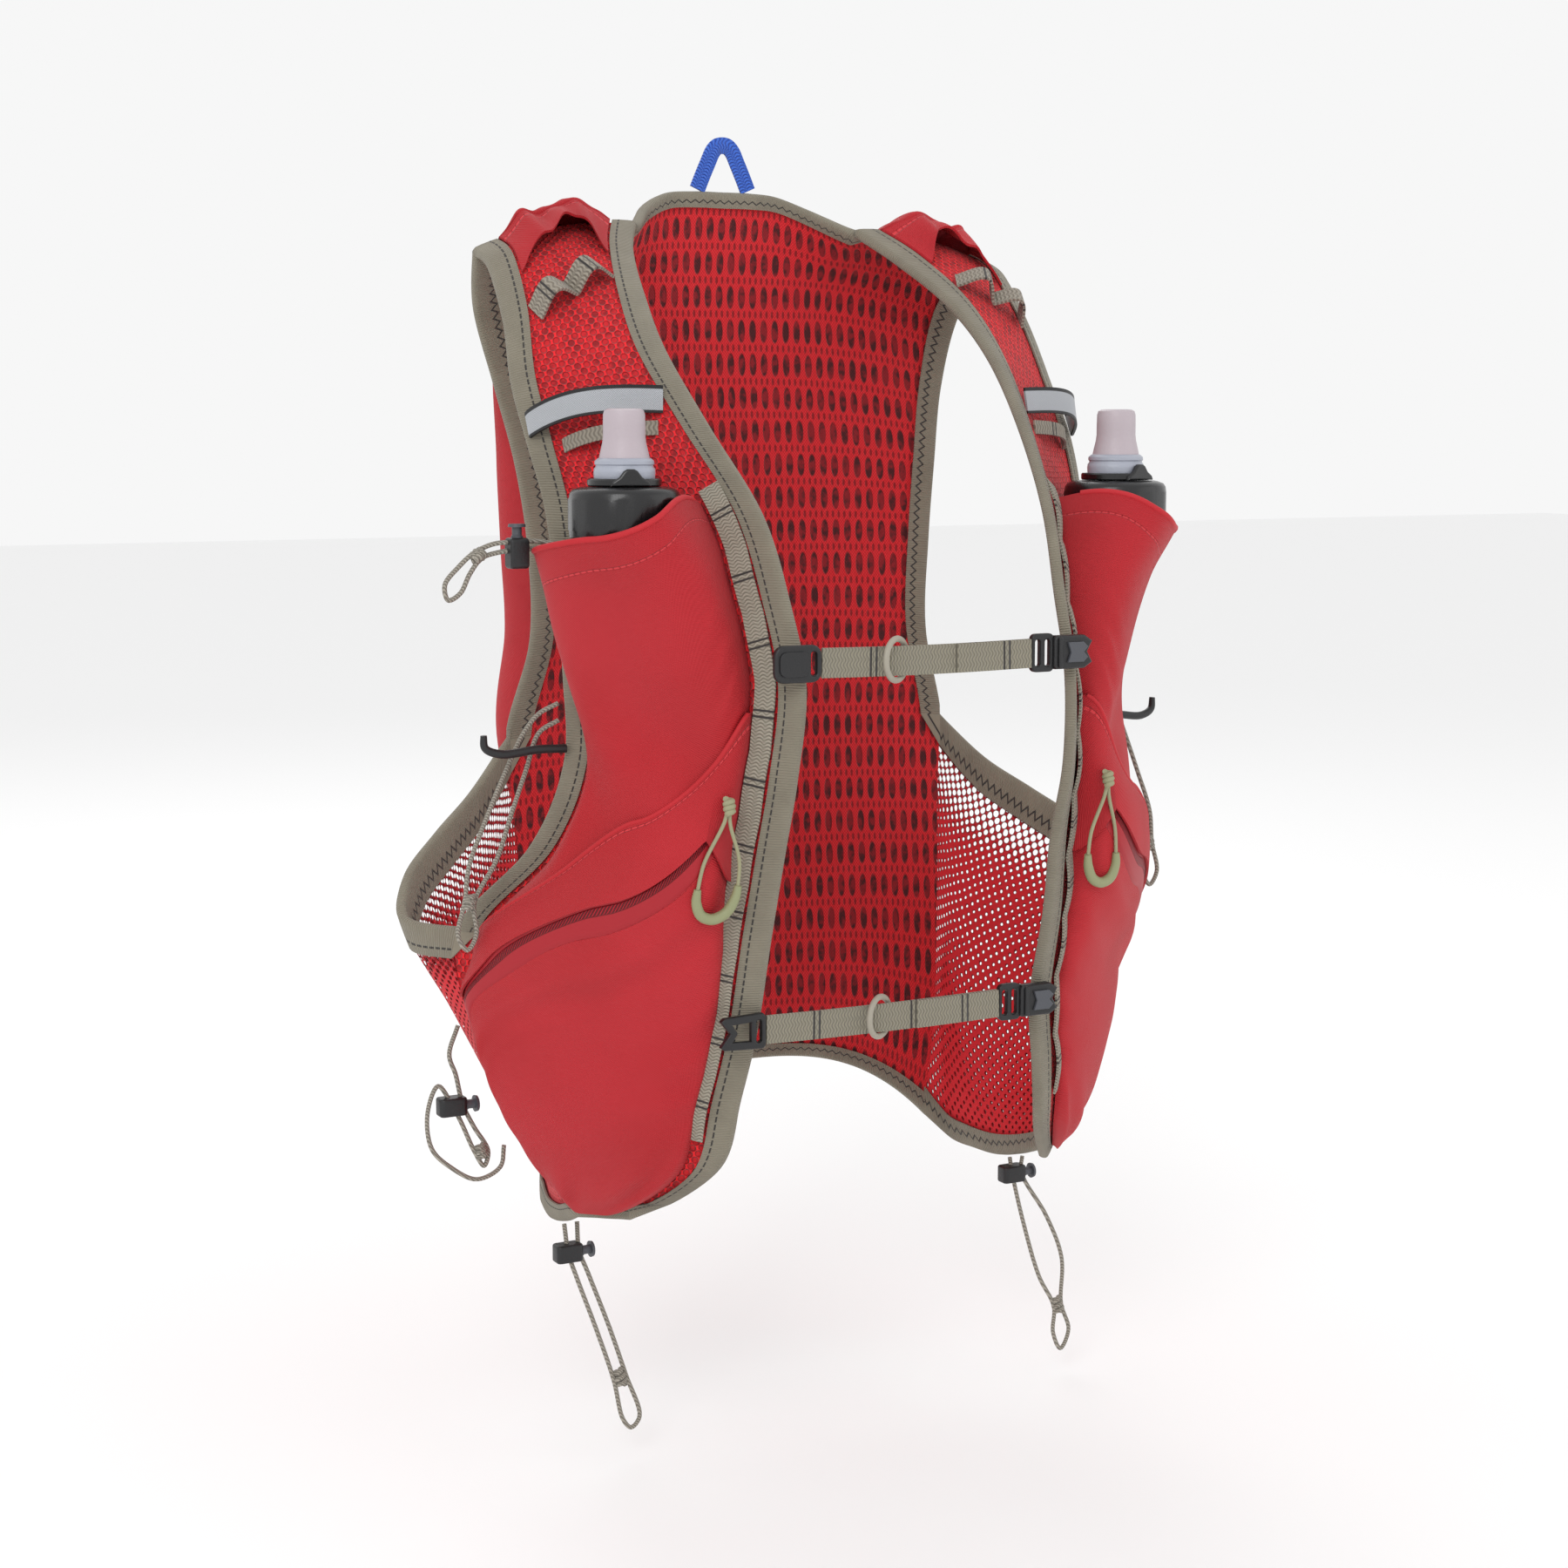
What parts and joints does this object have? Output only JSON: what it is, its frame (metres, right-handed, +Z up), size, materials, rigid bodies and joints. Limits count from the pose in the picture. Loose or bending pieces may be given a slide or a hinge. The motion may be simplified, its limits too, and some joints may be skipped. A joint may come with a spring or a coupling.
{
  "type": "running hydration vest",
  "caption": "Sleeveless running vest of open red mesh with bound edges, soft flasks in the front pockets, zip pockets, chest straps, elastic cords and a shallow back store.",
  "frame": {"origin": "the shoulder seat on the mid-plane, between the inner ends of the two shoulder crests", "axes": "-Y is where the wearer faces, +X is the wearer's left, +Z is up"},
  "size_m": [0.371, 0.2544, 0.5756],
  "materials": {
    "air_mesh": "open knit",
    "stretch_cloth": "matte stretch weave",
    "binding": "folded tape",
    "webbing": "woven tape",
    "zip_tape": "coil zip",
    "blue_webbing": "woven tape",
    "reflective": "reflective tape",
    "cord": "braided elastic",
    "pull": "matte",
    "black_plastic": "satin",
    "ring_plastic": "translucent",
    "flask_film": "translucent",
    "valve_rubber": "frosted"
  },
  "bodies": {
    "vest": {"back_liner": "air_mesh", "edge_binding": "binding", "back_shell": "stretch_cloth", "haul_loop": "blue_webbing", "upper_clip": "black_plastic", "upper_strap": "webbing", "upper_ring": "webbing", "upper_buckle": "black_plastic", "lower_clip": "black_plastic", "lower_strap": "webbing", "lower_ring": "webbing", "lower_buckle": "black_plastic", "right_pocket_cord": "cord", "right_pole_cord": "cord", "left_pole_cord": "cord", "right_side_cord": "cord", "right_hem_cord": "cord", "left_hem_cord": "cord", "right_pocket_lock": "black_plastic", "right_side_lock": "black_plastic", "right_hem_lock": "black_plastic", "left_hem_lock": "black_plastic", "left_front_panel": "air_mesh", "right_front_panel": "air_mesh", "left_side_wing": "air_mesh", "right_side_wing": "air_mesh", "left_armhole_binding": "binding", "right_armhole_binding": "binding", "left_flask_pocket": "stretch_cloth", "right_flask_pocket": "stretch_cloth", "left_zip_flap": "stretch_cloth", "right_zip_flap": "stretch_cloth", "left_zip": "zip_tape", "right_zip": "zip_tape", "left_zip_pocket": "stretch_cloth", "right_zip_pocket": "stretch_cloth", "left_ladder_webbing": "webbing", "right_ladder_webbing": "webbing", "left_reflective_strap": "reflective", "right_reflective_strap": "reflective", "left_shoulder_webbing": "webbing", "right_shoulder_webbing": "webbing", "left_shoulder_flap": "stretch_cloth", "right_shoulder_flap": "stretch_cloth", "left_flask_cap": "black_plastic", "right_flask_cap": "black_plastic", "left_bite_valve": "valve_rubber", "right_bite_valve": "valve_rubber", "left_flask": "flask_film", "right_flask": "flask_film", "left_zip_pull": "pull", "right_zip_pull": "pull", "left_pole_hook": "black_plastic", "right_pole_hook": "black_plastic"},
    "left_valve_ring": {"left_valve_ring": "ring_plastic"},
    "right_valve_ring": {"right_valve_ring": "ring_plastic"}
  },
  "joints": [
    {"name": "left_valve_lock", "type": "hinge", "parent": "vest", "child": "left_valve_ring", "pos_m": [0.11876, -0.12804, -0.11198], "axis": [0, 0, 1], "range_deg": [0, 90]},
    {"name": "right_valve_lock", "type": "hinge", "parent": "vest", "child": "right_valve_ring", "pos_m": [-0.11876, -0.12804, -0.11198], "axis": [0, 0, -1], "range_deg": [0, 90]}
  ]
}
